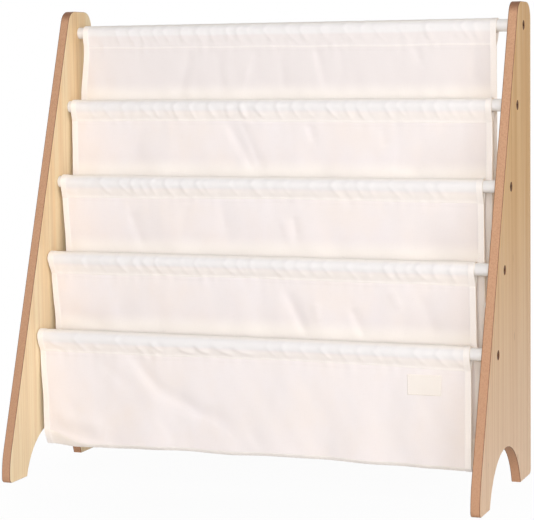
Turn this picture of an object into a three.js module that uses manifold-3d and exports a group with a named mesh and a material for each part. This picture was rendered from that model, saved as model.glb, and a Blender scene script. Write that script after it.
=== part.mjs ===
// Sling bookshelf: two side panels, five rods, and a sewn cloth sling that hangs from the rods in four pockets.
// Millimetres, +Z up. X runs along the rods and +Y away from the reader, so the rack's front faces -Y.
// The origin is on the floor, in the middle of the footprint. Rods and pockets count from the top down.
import * as THREE from 'three';
import * as BufferGeometryUtils from 'three/addons/utils/BufferGeometryUtils.js';
import Module from 'manifold-3d';

const wasm = await Module();
wasm.setup();

// Clearances
const seatGap = 0.3;
const cutOverrun = 1;

// Side panels
const rackWidth = 634;
const rackHeight = 610;
const footDepth = 264;
const topDepth = 65;
const toeHeight = 25;
const toeStraight = 0.7;
const boardThickness = 12.2;
const boardEdgeRound = 0.8;
const frontTopRadius = 20;
const rearTopRadius = 21;
const footCornerRadius = 6;
const frontFootLength = 47;
const rearFootLength = 57;
const archHeight = 60;
const archSteps = 22;
const cornerSteps = 6;
const boardEdgeSteps = 2;

// Rods
const rodCount = 5;
const rodDiameter = 16;
const rodWall = 1.2;
const topRodDrop = 29.4;
const lowestRodHeight = 180.6;
const rodSetback = 37;
const rodSides = 28;

// Plugs in the rod ends
const plugLength = 24;
const plugSides = 18;

// Bolts
const boltShankDiameter = 6;
const boltHeadDiameter = 12;
const boltHeadThickness = 3;
const boltHeadRecess = 0.6;
const boltHeadRound = 0.6;
const boltTipBevel = 0.8;
const boltGrip = 16;
const boltSocketDiameter = 4.6;
const boltSocketDepth = 2;
const boltSocketSides = 6;
const boltSides = 18;

// Sling
const clothThickness = 1;
const layerGap = 0.4;
const layerSpread = 2;
const sleeveSlack = 0.3;
const seamDrop = 21;
const slingSideGap = 12.7;
const slingFloorClearance = 34;
const foldDepth = 2.8;
const foldPitch = 148;
const bottomWave = 1.2;
const sleeveArcSteps = 10;
const sleeveSpanSteps = 6;
const wallSteps = 5;
const turnSteps = 8;
const pocketSpanSteps = 20;

// How far each row of cloth sits to the left, as shares of the gap at its ends
const rowLeftShares = [0.3, 0.5, 0.6, 0.8, 0.85];
// How far each row's seam hangs in front of its rod, as shares of the sleeve's radius
const seamForwardShares = [0.9, 0.1, 0, 0, 0.1];
// How far each row's cloth drifts back over a pocket's depth, as shares of the step between two rods
const driftBackShares = [0, 0, 0.11, 0.18, 0];
// The strength of each wave of the folds, their pitches and each row's start, as shares
const foldStrengthShares = [0.6, 0.4];
const foldPitchShares = [1, 0.63];
const foldStartShares = [0.1, 0.62, 0.35, 0.85, 0.5];

// Label
const labelWidth = 42;
const labelHeight = 25;
const labelThickness = 0.6;
const labelBelowSeam = 7;
const labelFromEnd = 37;
const labelSpanSteps = 4;

// Derived places
const frontY = -footDepth / 2;
const rearY = footDepth / 2;
const innerX = rackWidth / 2 - boardThickness;
const leanPerHeight = (footDepth - topDepth) / (rackHeight - toeHeight);
const rodRadius = rodDiameter / 2;
const rodPitch = (rackHeight - topRodDrop - lowestRodHeight) / (rodCount - 1);
const rodStepBack = rodPitch * leanPerHeight;
const boltHoleRadius = boltShankDiameter / 2 + seatGap;
const headSeatDepth = boltHeadRecess + boltHeadThickness;
const sleeveRadius = rodRadius + sleeveSlack + clothThickness / 2;
const layerOffset = (clothThickness + layerGap) / 2;
const pocketDrop = lowestRodHeight - slingFloorClearance;
const seamBottom = seamDrop + clothThickness / 2;
const slingHalfWidth = innerX - slingSideGap;

function leanLineY(height) {
    return frontY + (height - toeHeight) * leanPerHeight;
}

function rodAxis(row) {
    const z = rackHeight - topRodDrop - row * rodPitch;
    return { y: leanLineY(z) + rodSetback, z };
}

const lastRow = rodCount - 1;

// Materials
const boardMaterial = new THREE.MeshStandardMaterial({ color: 0xdcbc8f, roughness: 0.6, metalness: 0 });
const rodMaterial = new THREE.MeshStandardMaterial({ color: 0xf1f0ee, roughness: 0.3, metalness: 0.1 });
const plugMaterial = new THREE.MeshStandardMaterial({ color: 0x8d8f92, roughness: 0.6, metalness: 0.1 });
const boltMaterial = new THREE.MeshStandardMaterial({ color: 0x5a3c28, roughness: 0.45, metalness: 0.7 });
const clothMaterial = new THREE.MeshStandardMaterial({ color: 0xf5efe8, roughness: 0.9, metalness: 0 });
const labelMaterial = new THREE.MeshStandardMaterial({ color: 0xfbf3ea, roughness: 0.8, metalness: 0 });

// A geometry as a solid that can be cut
function toSolid(geometry) {
    const bare = geometry.clone();
    bare.deleteAttribute('normal');
    bare.deleteAttribute('uv');
    const merged = BufferGeometryUtils.mergeVertices(bare);
    return new wasm.Manifold(new wasm.Mesh({
        numProp: 3,
        vertProperties: new Float32Array(merged.attributes.position.array),
        triVerts: new Uint32Array(merged.index.array),
    }));
}

function toGeometry(solid) {
    const mesh = solid.getMesh();
    const geometry = new THREE.BufferGeometry();
    geometry.setAttribute('position', new THREE.BufferAttribute(mesh.vertProperties, 3));
    geometry.setIndex(new THREE.BufferAttribute(mesh.triVerts, 1));
    geometry.computeVertexNormals();
    return geometry;
}

function cutAway(geometry, cutters) {
    return toGeometry(cutters.reduce((left, cutter) => left.subtract(toSolid(cutter)), toSolid(geometry)));
}

// A round bar or ring whose local +Y becomes the given direction along X
function alongX(geometry, side) {
    return geometry.rotateZ(-side * Math.PI / 2);
}

// The points of a polygon whose corners are rounded, each by its own radius
function roundedOutline(corners) {
    const points = [];
    corners.forEach((corner, i) => {
        const at = new THREE.Vector2(corner.y, corner.z);
        const last = corners[(i + corners.length - 1) % corners.length];
        const next = corners[(i + 1) % corners.length];
        const toLast = new THREE.Vector2(last.y, last.z).sub(at).normalize();
        const toNext = new THREE.Vector2(next.y, next.z).sub(at).normalize();
        if (!corner.radius) {
            points.push(at);
            return;
        }
        const half = Math.acos(toLast.dot(toNext)) / 2;
        const centre = toLast.clone().add(toNext).normalize().multiplyScalar(corner.radius / Math.sin(half)).add(at);
        const tangent = corner.radius / Math.tan(half);
        const start = at.clone().addScaledVector(toLast, tangent).sub(centre);
        const end = at.clone().addScaledVector(toNext, tangent).sub(centre);
        const sweep = Math.atan2(start.cross(end), start.dot(end));
        for (let step = 0; step <= cornerSteps; step++) {
            points.push(start.clone().rotateAround(new THREE.Vector2(), sweep * step / cornerSteps).add(centre));
        }
    });
    return points;
}

// The arch between the feet, as a circular arc from its rear end to its front end
function archPoints() {
    const rearEnd = rearY - rearFootLength;
    const frontEnd = frontY + frontFootLength;
    const halfSpan = (rearEnd - frontEnd) / 2;
    const radius = (halfSpan * halfSpan + archHeight * archHeight) / (2 * archHeight);
    const centre = new THREE.Vector2((rearEnd + frontEnd) / 2, archHeight - radius);
    const startAngle = Math.atan2(-centre.y, halfSpan);
    const points = [];
    for (let step = 0; step <= archSteps; step++) {
        const angle = startAngle + (Math.PI - 2 * startAngle) * step / archSteps;
        points.push(new THREE.Vector2(Math.cos(angle), Math.sin(angle)).multiplyScalar(radius).add(centre));
    }
    return points;
}

function panelShape() {
    const toeTurn = Math.atan(leanPerHeight);
    const toeBlendRadius = (toeHeight - footCornerRadius - toeStraight) / Math.tan(toeTurn / 2);
    const outline = roundedOutline([
        { y: rearY - rearFootLength, z: 0 },
        { y: rearY, z: 0, radius: footCornerRadius },
        { y: rearY, z: rackHeight, radius: rearTopRadius },
        { y: rearY - topDepth, z: rackHeight, radius: frontTopRadius },
        { y: frontY, z: toeHeight, radius: toeBlendRadius },
        { y: frontY, z: 0, radius: footCornerRadius },
        { y: frontY + frontFootLength, z: 0 },
    ]);
    return new THREE.Shape([...outline, ...archPoints().slice(1, -1).reverse()]);
}

// One side panel: side is 1 for the right and -1 for the left
function sidePanel(side) {
    const board = new THREE.ExtrudeGeometry(panelShape(), {
        depth: boardThickness - 2 * boardEdgeRound,
        bevelEnabled: true,
        bevelThickness: boardEdgeRound,
        bevelSize: boardEdgeRound,
        bevelOffset: -boardEdgeRound,
        bevelSegments: boardEdgeSteps,
    });
    board.translate(0, 0, boardEdgeRound - boardThickness / 2);
    const axes = [new THREE.Vector3(0, 1, 0), new THREE.Vector3(0, 0, 1), new THREE.Vector3(1, 0, 0)];
    board.applyMatrix4(new THREE.Matrix4().makeBasis(...axes));
    board.translate(side * (innerX + boardThickness / 2), 0, 0);
    const cutters = [];
    for (let row = 0; row < rodCount; row++) {
        const axis = rodAxis(row);
        const holeLength = boardThickness + 2 * cutOverrun;
        const hole = alongX(new THREE.CylinderGeometry(boltHoleRadius, boltHoleRadius, holeLength, boltSides), side);
        cutters.push(hole.translate(side * (innerX + boardThickness / 2), axis.y, axis.z));
        const seatRadius = boltHeadDiameter / 2 + seatGap;
        const seatLength = headSeatDepth + seatGap + cutOverrun;
        const seat = alongX(new THREE.CylinderGeometry(seatRadius, seatRadius, seatLength, boltSides), side);
        cutters.push(seat.translate(side * (rackWidth / 2 + cutOverrun - seatLength / 2), axis.y, axis.z));
    }
    return cutAway(board, cutters);
}

// A profile of [radius, height] pairs turned about its axis
function turned(profile, sides) {
    return new THREE.LatheGeometry(profile.map(([radius, height]) => new THREE.Vector2(radius, height)), sides);
}

// A ring about its axis, centred on it
function ring(outerRadius, innerRadius, length, sides) {
    return turned([
        [innerRadius, -length / 2],
        [outerRadius, -length / 2],
        [outerRadius, length / 2],
        [innerRadius, length / 2],
        [innerRadius, -length / 2],
    ], sides);
}

function rodTube() {
    return alongX(ring(rodRadius, rodRadius - rodWall, 2 * (innerX - seatGap), rodSides), 1);
}

function endPlug(side) {
    const plug = ring(rodRadius - rodWall - seatGap, boltHoleRadius, plugLength, plugSides);
    return alongX(plug, side).translate(side * (innerX - seatGap - plugLength / 2), 0, 0);
}

function bolt(side) {
    const headRadius = boltHeadDiameter / 2;
    const shankRadius = boltShankDiameter / 2;
    const shankLength = boardThickness - headSeatDepth + boltGrip;
    const body = turned([
        [0, -shankLength],
        [shankRadius - boltTipBevel, -shankLength],
        [shankRadius, boltTipBevel - shankLength],
        [shankRadius, 0],
        [headRadius, 0],
        [headRadius, boltHeadThickness - boltHeadRound],
        [headRadius - boltHeadRound, boltHeadThickness],
        [0, boltHeadThickness],
    ], boltSides);
    const socketRadius = boltSocketDiameter / 2;
    const socketLength = boltSocketDepth + cutOverrun;
    const socket = new THREE.CylinderGeometry(socketRadius, socketRadius, socketLength, boltSocketSides);
    socket.translate(0, boltHeadThickness + (cutOverrun - boltSocketDepth) / 2, 0);
    return alongX(cutAway(body, [socket]), side).translate(side * (rackWidth / 2 - headSeatDepth), 0, 0);
}

// Offsets a line of [y, z] points sideways, with mitred corners
function offsetLine(line, distance, closed) {
    const count = line.length;
    return line.map((point, i) => {
        const before = line[closed ? (i + count - 1) % count : Math.max(i - 1, 0)];
        const after = line[closed ? (i + 1) % count : Math.min(i + 1, count - 1)];
        const arriving = new THREE.Vector2(point.y - before.y, point.z - before.z).normalize();
        const leaving = new THREE.Vector2(after.y - point.y, after.z - point.z).normalize();
        const normals = [arriving, leaving].filter((run) => run.length() > 0);
        const outward = normals.reduce((sum, run) => sum.add(new THREE.Vector2(run.y, -run.x)), new THREE.Vector2());
        outward.normalize();
        const mitre = outward.dot(new THREE.Vector2(normals[0].y, -normals[0].x));
        const reach = distance / mitre;
        return { x: point.x, y: point.y + outward.x * reach, z: point.z + outward.y * reach };
    });
}

// Joins loops of points, one set for each station along +X, into one closed solid.
// A station's first loop runs anticlockwise seen from +X, and a second one, a hole, runs clockwise.
function loft(stations) {
    const positions = [];
    const triangles = [];
    const starts = stations.map((loops) => loops.map((loop) => {
        const start = positions.length / 3;
        loop.forEach((point) => positions.push(point.x, point.y, point.z));
        return start;
    }));
    for (let i = 0; i + 1 < stations.length; i++) {
        stations[i].forEach((loop, which) => {
            const here = starts[i][which];
            const there = starts[i + 1][which];
            loop.forEach((point, j) => {
                const k = (j + 1) % loop.length;
                triangles.push(here + j, here + k, there + k, here + j, there + k, there + j);
            });
        });
    }
    const addCap = (i, facesRight) => {
        const flat = stations[i].map((loop) => loop.map((point) => new THREE.Vector2(point.y, point.z)));
        const indices = stations[i].flatMap((loop, which) => loop.map((point, j) => starts[i][which] + j));
        THREE.ShapeUtils.triangulateShape(flat[0], flat.slice(1)).forEach((face) => {
            const corners = face.map((corner) => indices[corner]);
            triangles.push(...(facesRight ? corners : corners.reverse()));
        });
    };
    addCap(0, false);
    addCap(stations.length - 1, true);
    const geometry = new THREE.BufferGeometry();
    geometry.setAttribute('position', new THREE.Float32BufferAttribute(positions, 3));
    geometry.setIndex(triangles);
    geometry.computeVertexNormals();
    return geometry;
}

// Where a row of cloth begins and ends along X, by a share from its left end to its right end
function clothX(row, share) {
    const shift = slingSideGap * rowLeftShares[row];
    return (2 * share - 1) * slingHalfWidth - shift;
}

function seamY(row) {
    return rodAxis(row).y - seamForwardShares[row] * sleeveRadius;
}

// The folds of the cloth under a rod: nothing at the seam, and full at a pocket's depth
function foldY(row, x, drop) {
    const waves = foldStrengthShares.map((strength, i) => {
        const turns = x / (foldPitch * foldPitchShares[i]) + foldStartShares[row] * (i + 1);
        return strength * Math.cos(2 * Math.PI * turns);
    });
    const growth = THREE.MathUtils.smoothstep(drop, seamDrop, pocketDrop);
    return foldDepth * growth * waves.reduce((sum, wave) => sum + wave, 0);
}

// The middle of the cloth that hangs under a rod. Where two layers hang there, the pocket behind the rod
// has the rear layer, and the pocket in front of it has the front layer.
function wallY(row, layer, x, drop) {
    const twoLayers = row > 0 && row < lastRow;
    const depthShare = (drop - seamDrop) / (pocketDrop - seamDrop);
    const apart = twoLayers ? layer * (layerOffset + layerSpread / 2 * depthShare) : 0;
    return seamY(row) + apart + driftBackShares[row] * rodStepBack * depthShare + foldY(row, x, drop);
}

// The sleeve round a rod: a loop that closes at the stitched seam below it
function sleeve(row) {
    const axis = rodAxis(row);
    const seam = { y: seamY(row) - axis.y, z: -seamDrop };
    const reach = Math.hypot(seam.y, seam.z);
    const downward = Math.atan2(seam.z, seam.y);
    const opening = Math.acos(sleeveRadius / reach);
    const stations = [];
    for (let i = 0; i <= sleeveSpanSteps; i++) {
        const x = clothX(row, i / sleeveSpanSteps);
        const line = [];
        for (let j = 0; j <= sleeveArcSteps; j++) {
            const angle = downward + opening + (2 * Math.PI - 2 * opening) * j / sleeveArcSteps;
            line.push({ x, y: axis.y + sleeveRadius * Math.cos(angle), z: axis.z + sleeveRadius * Math.sin(angle) });
        }
        line.push({ x, y: axis.y + seam.y - layerOffset, z: axis.z + seam.z });
        line.push({ x, y: axis.y + seam.y + layerOffset, z: axis.z + seam.z });
        const outer = offsetLine(line, clothThickness / 2, true);
        const inner = offsetLine(line, -clothThickness / 2, true).reverse();
        stations.push([outer, inner]);
    }
    return loft(stations);
}

// The middle line of a pocket at one place along X: down the front wall, round the bottom, up the rear wall
function pocketLine(row, share) {
    const rearAxis = rodAxis(row);
    const frontAxis = rodAxis(row + 1);
    const frontX = clothX(row + 1, share);
    const rearX = clothX(row, share);
    const wave = bottomWave * Math.cos(2 * Math.PI * frontX / foldPitch);
    const bottomZ = frontAxis.z - pocketDrop + wave;
    const rearDrop = pocketDrop + rodPitch;
    const halfTurn = (wallY(row, -1, rearX, rearDrop) - wallY(row + 1, 1, frontX, pocketDrop)) / 2;
    const turnZ = bottomZ + Math.abs(halfTurn);
    const line = [];
    for (let j = 0; j < wallSteps; j++) {
        const z = THREE.MathUtils.lerp(frontAxis.z - seamBottom - seatGap, turnZ, j / wallSteps);
        line.push({ x: frontX, y: wallY(row + 1, 1, frontX, frontAxis.z - z), z });
    }
    const turnFrontY = wallY(row + 1, 1, frontX, frontAxis.z - turnZ);
    const turnRearY = wallY(row, -1, rearX, rearAxis.z - turnZ);
    for (let j = 0; j <= turnSteps; j++) {
        const angle = Math.PI * j / turnSteps;
        line.push({
            x: THREE.MathUtils.lerp(frontX, rearX, j / turnSteps),
            y: THREE.MathUtils.lerp(turnFrontY, turnRearY, (1 - Math.cos(angle)) / 2),
            z: turnZ - halfTurn * Math.sin(angle),
        });
    }
    for (let j = 1; j <= wallSteps + 1; j++) {
        const z = THREE.MathUtils.lerp(turnZ, rearAxis.z - seamBottom - seatGap, j / (wallSteps + 1));
        line.push({ x: rearX, y: wallY(row, -1, rearX, rearAxis.z - z), z });
    }
    return line;
}

// The pocket that hangs between the rod of its row and the next rod down
function pocket(row) {
    const stations = [];
    for (let i = 0; i <= pocketSpanSteps; i++) {
        const line = pocketLine(row, i / pocketSpanSteps);
        const outside = offsetLine(line, clothThickness / 2, false);
        const inside = offsetLine(line, -clothThickness / 2, false).reverse();
        stations.push([[...outside, ...inside]]);
    }
    return loft(stations);
}

// The label lies on the front wall of the lowest pocket
function label() {
    const seamZ = rodAxis(lastRow).z - seamDrop;
    const top = seamZ - labelBelowSeam;
    const endX = clothX(lastRow, 1) - labelFromEnd;
    const forward = (clothThickness + labelThickness) / 2 + seatGap;
    const stations = [];
    for (let i = 0; i <= labelSpanSteps; i++) {
        const x = endX - labelWidth * (1 - i / labelSpanSteps);
        const line = [top, top - labelHeight / 2, top - labelHeight].map((z) => (
            { x, y: wallY(lastRow, 1, x, rodAxis(lastRow).z - z) - forward, z }
        ));
        const face = offsetLine(line, labelThickness / 2, false);
        const back = offsetLine(line, -labelThickness / 2, false).reverse();
        stations.push([[...face, ...back]]);
    }
    return loft(stations);
}

const rack = new THREE.Group();

function addPiece(name, geometry, material, y = 0, z = 0) {
    const piece = new THREE.Mesh(geometry, material);
    piece.name = name;
    piece.position.set(0, y, z);
    rack.add(piece);
}

addPiece('left_side_panel', sidePanel(-1), boardMaterial);
addPiece('right_side_panel', sidePanel(1), boardMaterial);

for (let row = 0; row < rodCount; row++) {
    const axis = rodAxis(row);
    const number = row + 1;
    addPiece(`rod_tube_${number}`, rodTube(), rodMaterial, axis.y, axis.z);
    addPiece(`end_plug_left_${number}`, endPlug(-1), plugMaterial, axis.y, axis.z);
    addPiece(`end_plug_right_${number}`, endPlug(1), plugMaterial, axis.y, axis.z);
    addPiece(`bolt_left_${number}`, bolt(-1), boltMaterial, axis.y, axis.z);
    addPiece(`bolt_right_${number}`, bolt(1), boltMaterial, axis.y, axis.z);
    addPiece(`rod_sleeve_${number}`, sleeve(row), clothMaterial);
}

for (let row = 0; row < lastRow; row++) {
    addPiece(`sling_pocket_${row + 1}`, pocket(row), clothMaterial);
}

addPiece('sling_label', label(), labelMaterial);

export default rack;
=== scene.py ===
import math
import bmesh
import bpy
import numpy as np
from mathutils import Matrix, Vector


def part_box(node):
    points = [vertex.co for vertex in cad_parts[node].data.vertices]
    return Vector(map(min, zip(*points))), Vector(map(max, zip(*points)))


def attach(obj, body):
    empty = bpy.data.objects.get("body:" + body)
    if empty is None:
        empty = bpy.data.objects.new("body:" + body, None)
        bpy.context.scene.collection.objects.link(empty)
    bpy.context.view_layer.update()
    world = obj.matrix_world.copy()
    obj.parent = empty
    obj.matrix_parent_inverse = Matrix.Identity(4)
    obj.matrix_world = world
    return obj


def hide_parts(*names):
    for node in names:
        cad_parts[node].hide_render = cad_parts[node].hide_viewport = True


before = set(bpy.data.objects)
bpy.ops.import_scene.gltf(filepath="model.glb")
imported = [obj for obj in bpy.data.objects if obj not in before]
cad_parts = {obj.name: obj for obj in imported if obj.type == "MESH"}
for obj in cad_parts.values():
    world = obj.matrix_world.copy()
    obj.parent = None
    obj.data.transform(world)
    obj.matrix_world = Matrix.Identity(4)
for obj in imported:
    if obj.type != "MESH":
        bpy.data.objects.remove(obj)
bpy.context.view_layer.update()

mm = 0.001
weld = 0.001 * mm
print("scene: frame loaded")


class Wire:
    # a node's output; sums, products and comparisons of wires add Math nodes
    def __init__(self, maker, socket):
        self.maker = maker
        self.socket = socket

    def maths(self, operation, *others):
        return self.maker.node("ShaderNodeMath", {"operation": operation}, dict(enumerate((self, *others))))

    def __add__(self, other):
        return self.maths("ADD", other)

    __radd__ = __add__

    def __sub__(self, other):
        return self.maths("SUBTRACT", other)

    def __rsub__(self, other):
        return self.maker.node("ShaderNodeMath", {"operation": "SUBTRACT"}, {0: other, 1: self})

    def __mul__(self, other):
        return self.maths("MULTIPLY", other)

    __rmul__ = __mul__

    def __truediv__(self, other):
        return self.maths("DIVIDE", other)

    def __pow__(self, other):
        return self.maths("POWER", other)

    def __abs__(self):
        return self.maths("ABSOLUTE")

    def sine(self):
        return self.maths("SINE")

    def most(self, other):
        return self.maths("MAXIMUM", other)

    def ramp(self, low, high):  # 0 at low and 1 at high, smooth between
        return self.maker.node("ShaderNodeMapRange", {"interpolation_type": "SMOOTHSTEP"},
                               {0: self, 1: low, 2: high})


class Finish:
    # the nodes of one material or world
    def __init__(self, owner, main):
        owner.use_nodes = True
        self.owner = owner
        self.nodes = owner.node_tree.nodes
        self.links = owner.node_tree.links
        self.main = self.nodes[main]

    def feed(self, node, sockets):
        for key, value in sockets.items():
            if isinstance(value, Wire):
                self.links.new(value.socket, node.inputs[key])
            else:
                node.inputs[key].default_value = value

    def node(self, kind, settings=None, sockets=None, output=0):
        node = self.nodes.new(kind)
        for key, value in (settings or {}).items():
            setattr(node, key, value)
        self.feed(node, sockets or {})
        return Wire(self, node.outputs[output])

    def place(self, name="Object"):
        return self.node("ShaderNodeTexCoord", output=name)

    def split(self, vector):
        node = self.node("ShaderNodeSeparateXYZ", {}, {0: vector}).socket.node
        return [Wire(self, output) for output in node.outputs]

    def noise(self, where, stretch, detail=3.0, roughness=0.5):
        mapped = self.node("ShaderNodeMapping", {}, {"Vector": where, "Scale": stretch})
        return self.node("ShaderNodeTexNoise", {},
                         {"Vector": mapped, "Scale": 1.0, "Detail": detail, "Roughness": roughness})

    def spots(self, where, stretch):
        # how far each point is from the nearest of many scattered spots
        mapped = self.node("ShaderNodeMapping", {}, {"Vector": where, "Scale": stretch})
        return self.node("ShaderNodeTexVoronoi", {}, {"Vector": mapped, "Scale": 1.0})

    def mix(self, share, *colours):  # plain colours are given as the screen shows them
        first, second = [colour if isinstance(colour, Wire) else rgb(*colour) for colour in colours]
        return self.node("ShaderNodeMix", {"data_type": "RGBA"}, {0: share, 6: first, 7: second}, 2)

    def layered(self, colour, *coats):  # each coat is its share and its colour
        for share, coat in coats:
            colour = self.mix(share, colour, coat)
        return colour

    def bump(self, height, distance, strength):
        return self.node("ShaderNodeBump", {}, {"Height": height, "Distance": distance, "Strength": strength})

    def attribute(self, name):
        return self.node("ShaderNodeAttribute", {"attribute_name": name}, output="Fac")

    def looked(self):
        # 1 for rays that come from the camera, a reflection or through glass, and 0 for the rest
        path = self.node("ShaderNodeLightPath").socket.node
        kinds = ("Is Camera Ray", "Is Glossy Ray", "Is Transmission Ray")
        camera, glossy, through = [Wire(self, path.outputs[kind]) for kind in kinds]
        return camera.most(glossy).most(through)

    def finish(self, **sockets):
        self.feed(self.main, {name.replace("_", " "): value for name, value in sockets.items()})
        return self.owner


def newFinish(name):
    return Finish(bpy.data.materials.new(name), "Principled BSDF")


def rgb(red, green, blue):  # a colour as the screen shows it, made linear with the screen's own curve
    values = [channel / 255 for channel in (red, green, blue)]
    linear = [v / 12.92 if v <= 0.04045 else ((v + 0.055) / 1.055) ** 2.4 for v in values]
    return (*linear, 1)


woodLook = {
    # painted light and shade: the inner faces are painted lighter and the outer faces darker than the same
    # pine, for the light that reaches the inner faces beside the cloth
    "innerPaleLit": (255, 229, 186),
    "innerTanLit": (253, 216, 165),
    "innerFloorLight": (255, 237, 201),       # painted floor light on the inner faces: paler nearer the floor
    "outerPaleShaded": (240, 197, 140),
    "outerTanShaded": (226, 177, 116),
    # painted floor light on the outer faces: paler nearer the floor
    "outerFloorLight": (255, 221, 188),
    "line": (205, 148, 92),
    "shine": (255, 234, 200),
    "fleck": (140, 84, 52),
    "edge": (201, 155, 122),
    "edgeDark": (177, 129, 97),
    "edgeLow": (178, 132, 102),
    # painted shade: the edge's top, where it turns up away from the front light
    "edgeTopShade": (128, 84, 60),
    "outline": (108, 72, 52),
    "boardMiddle": 0.3109,             # the boards' middle, as a distance from X = 0
    "outerFrom": (0.0052, 0.0060),     # from that middle: where the inner colours turn into the outer ones,
    "outlineFrom": (0.0049, 0.0054),   # where the bare edge ends in a dark outline
    "faceFrom": (0.0058, 0.00605),     # and where the face begins
    "lowFade": (0.02, 0.42),           # the heights between which the painted floor light on the faces, and the edges' darker tone, fade out
    "topShadeFrom": (0.594, 0.607),         # the heights between which the painted shade on the edge's top fades in
    "linePitch": 0.021,                # between the grain lines
    "lineWander": 5.2,
    "lineSharpness": 3.0,
    "wanderScale": (9, 16, 0.8),       # the patterns' sizes are per metre along X, Y and Z
    "broadScale": (18, 42, 1.3),
    "fineScale": (150, 760, 8),
    "streakScale": (60, 230, 2.2),
    "poreScale": (400, 1100, 42),
    "fleckScale": (70, 46, 17),
    "sawScale": (620, 420, 420),
    "tanFrom": (0.36, 0.64),           # the values of a pattern between which its colour fades in
    "fineFrom": (0.45, 0.8),
    "streakFrom": (0.50, 0.72),
    "shineFrom": (0.28, 0.46),
    "poreFrom": (0.64, 0.74),
    "fleckFrom": (0.52, 0.56),
    "sawFrom": (0.38, 0.72),
    "fleckSize": (0.05, 0.13),
    "innerFloorLightShare": 0.62,             # how much of each colour shows at most
    "outerFloorLightShare": 0.97,
    "lineShare": 0.20,
    "fineShare": 0.22,
    "streakShare": 0.24,
    "shineShare": 0.35,
    "poreShare": 0.22,
    "fleckShare": 0.75,
    "sawShare": 0.6,
    "edgeLowShare": 0.35,
    "edgeTopShadeShare": 0.8,
    "outlineShare": 0.8,
    "bumpHeight": 0.00010,
}


def woodFinish():
    look = woodLook
    wood = newFinish("pine")
    where = wood.place()
    x, y, z = wood.split(where)
    fromMiddle = abs(x) - look["boardMiddle"]
    outer = fromMiddle.ramp(*look["outerFrom"])
    outline = abs(fromMiddle).ramp(*look["outlineFrom"])
    face = abs(fromMiddle).ramp(*look["faceFrom"])
    # painted floor light: the faces are paler towards the bottom, and the edges darker
    low = 1 - z.ramp(*look["lowFade"])
    floorLightShare = outer * (look["outerFloorLightShare"] - look["innerFloorLightShare"]) + look["innerFloorLightShare"]
    wander = wood.noise(where, look["wanderScale"], 2.0)
    turns = (y / look["linePitch"] + wander * look["lineWander"]) * (2 * math.pi)
    line = (turns.sine() * 0.5 + 0.5) ** look["lineSharpness"]
    fine = wood.noise(where, look["fineScale"], 3.0, 0.6)
    broad = wood.noise(where, look["broadScale"], 3.0)
    streak = wood.noise(where, look["streakScale"], 2.0, 0.6)
    saw = wood.noise(where, look["sawScale"], 3.0, 0.6)
    pores = wood.noise(where, look["poreScale"], 2.0, 0.6).ramp(*look["poreFrom"])
    spots = 1 - wood.spots(where, look["fleckScale"]).ramp(*look["fleckSize"])
    flecks = spots * broad.ramp(*look["fleckFrom"]) * outer
    # painted light and shade: lit inner and shaded outer copies of the same pine
    grain = wood.layered(
        wood.mix(outer, look["innerPaleLit"], look["outerPaleShaded"]),
        (broad.ramp(*look["tanFrom"]), wood.mix(outer, look["innerTanLit"], look["outerTanShaded"])),
        (low * floorLightShare, wood.mix(outer, look["innerFloorLight"], look["outerFloorLight"])),
        (line * (fine * 0.8 + 0.3) * look["lineShare"], look["line"]),
        (fine.ramp(*look["fineFrom"]) * look["fineShare"], look["line"]),
        (streak.ramp(*look["streakFrom"]) * look["streakShare"], look["line"]),
        ((1 - streak.ramp(*look["shineFrom"])) * look["shineShare"], look["shine"]),
        ((pores * look["poreShare"]).most(flecks * look["fleckShare"]), look["fleck"]))
    edge = wood.layered(
        look["edge"],
        (saw.ramp(*look["sawFrom"]) * look["sawShare"], look["edgeDark"]),
        (low * look["edgeLowShare"], look["edgeLow"]),
        # painted shade on the edge's top
        (z.ramp(*look["topShadeFrom"]) * look["edgeTopShadeShare"], look["edgeTopShade"]),
        (outline * look["outlineShare"], look["outline"]))
    height = fine * 0.5 - pores * 0.5 + saw * 0.2
    return wood.finish(
        Base_Color=wood.mix(face, edge, grain),
        Roughness=0.52 + fine * 0.12 + (1 - face) * 0.14,
        Normal=wood.bump(height, look["bumpHeight"], 0.5),
        Specular_IOR_Level=0.32,
        Coat_Weight=0.06,
        Coat_Roughness=0.35)


clothLook = {
    "white": (241, 233, 232),
    "warm": (242, 231, 225),
    # painted shade: a cooler, darker white in soft upright fold bands and on the top row
    "coolShade": (236, 228, 226),
    "backed": (240, 236, 235),         # painted light: cooler and whiter where a rod lies right behind the thin cloth
    "doubled": (252, 246, 242),        # hems and seams
    "sheltered": (253, 246, 239),      # above a sleeve and under a rod, where less light reaches the cloth
    "gap": (218, 206, 199),            # between the yarns
    "yarn": 0.00055,                   # the distance between two yarns
    "cloudScale": (9, 9, 1),
    "mottleScale": (34, 22, 1),
    "foldShadeScale": (17, 5, 1),
    "slubScale": (90, 1500, 1),
    "cloudFrom": (0.35, 0.68),         # the values of a pattern between which its colour fades in
    "mottleFrom": (0.4, 0.7),
    "foldShadeFrom": (0.50, 0.66),
    "slubFrom": (0.5, 0.66),
    "weaveUpTo": (0.0, 0.35),
    "forwardFrom": (-0.3, 0.1),        # how far a face looks forward where the sheltered colour fades in
    "cloudShare": 0.55,                # how much of each colour shows at most
    "mottleShare": 0.25,
    "foldShadeShare": 0.6,
    "doubledShare": 0.85,
    "weaveShare": 0.08,
    "slubShare": 0.10,
    "bumpHeight": 0.00010,
}


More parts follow.
